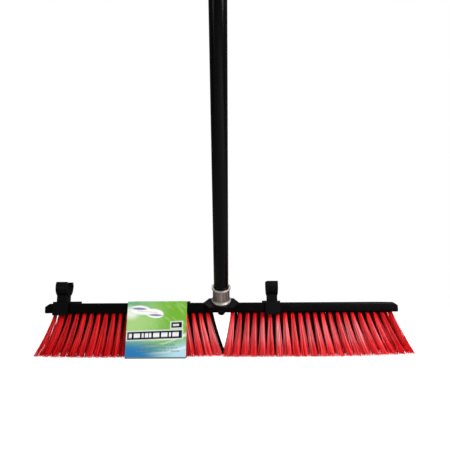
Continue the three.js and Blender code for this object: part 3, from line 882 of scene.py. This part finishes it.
GREEN = (0.15, 0.39, 0.035)
SOFT_GREEN = (0.3, 0.56, 0.2)
DEEP_GREEN = (0.1, 0.36, 0.2)
PALE_GREEN = (0.4, 0.62, 0.22)
TEAL = (0.08, 0.33, 0.2)
BLUE = (0.018, 0.17, 0.45)
SKY = (0.5, 0.7, 0.86)
NAVY = (0.0015, 0.002, 0.022)
PURPLE = (0.14, 0.11, 0.26)
LILAC = (0.4, 0.38, 0.5)
LINE_GREY = (0.13, 0.22, 0.22)
FOLD_SHADE = (0.13, 0.19, 0.21)
WHITE = (0.86, 0.88, 0.86)
BACK_PANEL_Y = 33 * MM  # behind this, the print runs the other way


def patch(n, u, v, middle, half, tilt=0.0, edge=0.012):
    """1 inside a rectangle on the panel, and 0 outside it, with a soft edge."""
    across = n.take(u, middle[0])
    up = n.take(n.take(v, middle[1]), n.times(across, tilt))
    beyond = n.math(
        "MAXIMUM",
        n.take(n.math("ABSOLUTE", across), half[0]),
        n.take(n.math("ABSOLUTE", up), half[1]),
    )
    return n.ramp(beyond, -edge, edge, 1.0, 0.0)


def oval(n, u, v, middle, half, tilt, edge):
    """1 inside an oval on the panel, and 0 outside it, with a soft edge."""
    across = n.take(u, middle[0])
    up = n.take(n.take(v, middle[1]), n.times(across, tilt))
    distance = n.math("SQRT", n.add(
        n.math("POWER", n.math("ABSOLUTE", n.times(across, 1 / half[0])), 2.0),
        n.math("POWER", n.math("ABSOLUTE", n.times(up, 1 / half[1])), 2.0),
    ))
    return n.ramp(distance, 1 - edge, 1 + edge, 1.0, 0.0)


def blot(n, u, v, colour, paint, strength, middle, half, tilt, edge):
    """The colour with a soft oval of paint over it."""
    return n.mix(n.times(oval(n, u, v, middle, half, tilt, edge), strength), colour, paint)


def card_ground(n, u, v):
    """Green above and blue below, with pale streaks and soft blots."""
    colour = n.mix(n.ramp(u, 0.0, 0.8), SOFT_GREEN, GREEN)
    colour = blot(n, u, v, colour, PALE_GREEN, 0.75, (0.12, 0.68), (0.34, 0.3), 0.0, 0.9)
    colour = blot(n, u, v, colour, DEEP_GREEN, 0.8, (0.0, 0.98), (0.35, 0.16), -0.2, 0.8)
    slanted = n.combine(n.times(u, 5), n.times(n.add(v, n.times(u, 0.9)), 16), 0.0)
    streaks = n.ramp(n.noise(slanted, 1.0, 2), 0.5, 0.72)
    colour = n.mix(n.times(streaks, 0.45), colour, PALE_GREEN)
    colour = n.mix(n.ramp(v, 0.36, 0.1), colour, TEAL)
    colour = blot(n, u, v, colour, BLUE, 0.95, (0.06, 0.03), (0.5, 0.26), -0.1, 0.7)
    return blot(n, u, v, colour, SKY, 0.85, (0.98, 0.08), (0.42, 0.2), 0.25, 0.8)


def card_sweeps(n, u, v, colour):
    """White sweeps that rise to the right."""
    for height, bend, strength in ((0.3, 0.1, 0.6), (0.2, 0.24, 0.5), (0.08, 0.12, 0.55)):
        curve = n.add(height, n.times(n.math("POWER", u, 3.0), bend))
        sweep = n.ramp(n.math("ABSOLUTE", n.take(v, curve)), 0.0, 0.035, 1.0, 0.0)
        colour = n.mix(n.times(n.times(sweep, strength), n.ramp(u, 0.2, 0.9)), colour, WHITE)
    return colour


def card_lines(n, u, v, colour):
    """Three thin broken lines, longer towards the bottom, that spell nothing."""
    for height in (0.235, 0.185, 0.13):
        broken = n.noise(n.combine(n.times(u, 34), height * 90, 0.0), 1.0, 1)
        line = patch(n, u, v, (0.54, height), (0.26 + 0.8 * (0.25 - height), 0.009), 0.0, 0.008)
        colour = n.mix(n.times(n.times(line, n.ramp(broken, 0.3, 0.5)), 0.8), colour, LINE_GREY)
    return colour


def card_badge(n, u, v, colour):
    """An abstract white badge of two joined ovals, each with a purple one inside, and a thin line."""
    badge = n.math(
        "MAXIMUM",
        oval(n, u, v, (0.23, 0.845), (0.17, 0.08), -0.1, 0.12),
        oval(n, u, v, (0.46, 0.785), (0.15, 0.08), -0.1, 0.12),
    )
    badge = n.math("MAXIMUM", badge, patch(n, u, v, (0.34, 0.815), (0.14, 0.062), -0.22))
    colour = blot(n, u, v, colour, WHITE, 0.8, (0.05, 0.8), (0.14, 0.1), 0.0, 0.6)
    colour = n.mix(badge, colour, WHITE)
    for middle, half in (((0.2, 0.87), (0.12, 0.022)), ((0.48, 0.755), (0.11, 0.02))):
        colour = blot(n, u, v, colour, PURPLE, 0.85, middle, half, -0.05, 0.4)
    line = patch(n, u, v, (0.34, 0.815), (0.17, 0.01), -0.1)
    return n.mix(n.times(line, 0.4), colour, LILAC)


def card_bars(n, u, v, colour):
    """A wide and a small navy bar with white outlines, filled with pale blocks that spell nothing."""
    beat = n.add(n.math("SINE", n.times(u, 97)), n.times(n.math("SINE", n.times(u, 41)), 0.7))
    blocks = n.ramp(beat, -0.75, -0.45)
    for middle, half, tilt in (((0.475, 0.405), (0.455, 0.07), 0.035), ((0.835, 0.58), (0.09, 0.05), 0.04)):
        outline = patch(n, u, v, middle, (half[0] + 0.016, half[1] + 0.016), tilt)
        colour = n.mix(n.times(outline, 0.85), colour, WHITE)
        colour = n.mix(patch(n, u, v, middle, half, tilt), colour, NAVY)
        inner = patch(n, u, v, middle, (half[0] - 0.03, half[1] - 0.034), tilt)
        colour = n.mix(n.times(n.times(inner, blocks), 0.9), colour, WHITE)
    return colour


def printed_card():
    """Coated board with an abstract print. u runs along the panel and v up it, both from 0 to 1."""
    n = Nodes("printed_card")
    low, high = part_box("card_sleeve")
    x, y, z = n.split(n.place())
    u = n.ramp_straight(x, low.x, high.x)
    behind = n.math("GREATER_THAN", y, BACK_PANEL_Y)
    u = n.add(u, n.times(behind, n.take(1.0, n.times(u, 2.0))))
    v = n.ramp_straight(z, low.z, high.z)
    colour = card_ground(n, u, v)
    for print_over in (card_sweeps, card_lines, card_badge, card_bars):
        colour = print_over(n, u, v, colour)
    # Painted shade: a dark band along each panel's bottom fold.
    colour = n.mix(n.ramp(v, 0.034, 0.026), colour, FOLD_SHADE)
    rubbed = n.ramp(n.noise(n.place(), 90, 5, 0.7), 0.62, 0.78)
    fibres = n.noise(n.place((0.3, 1, 1)), 1400, 3)
    n.surface(
        Base_Color=n.mix(n.times(rubbed, 0.12), colour, WHITE),
        Roughness=n.add(n.ramp(fibres, 0.3, 0.7, 0.34, 0.42), n.times(rubbed, 0.15)),
        Specular_IOR_Level=0.15,
    )
    n.bump(fibres, 0.15, 0.0002)
    return n.material


def raw_board():
    """The unprinted inside and the cut edges of the card: grey recycled fibres."""
    n = Nodes("raw_board")
    fibres = n.noise(n.place((0.3, 1, 1)), 700, 4, 0.7)
    n.surface(
        Base_Color=n.mix(fibres, (0.2, 0.19, 0.175), (0.33, 0.32, 0.3)),
        Roughness=n.ramp(fibres, 0.3, 0.7, 0.8, 0.92),
        Specular_IOR_Level=0.2,
    )
    n.bump(fibres, 0.3, 0.0003)
    return n.material


def make_sleeve():
    sleeve = refined("card_sleeve", "printed_sleeve", printed_card(), 0.25 * MM)
    sleeve.data.materials.append(raw_board())
    low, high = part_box("card_sleeve")
    axis = (low + high) / 2
    for face in sleeve.data.polygons:
        outward = Vector((0, face.center.y - axis.y, face.center.z - axis.z))
        if face.normal.dot(outward) < 0 or abs(face.normal.x) > 0.7:
            face.material_index = 1
    settle(sleeve, "head", "printed_card", "card_sleeve")


make_camera()
make_stage()
make_head()
make_tufts()
make_collar()
make_handle()
make_clips()
make_sleeve()
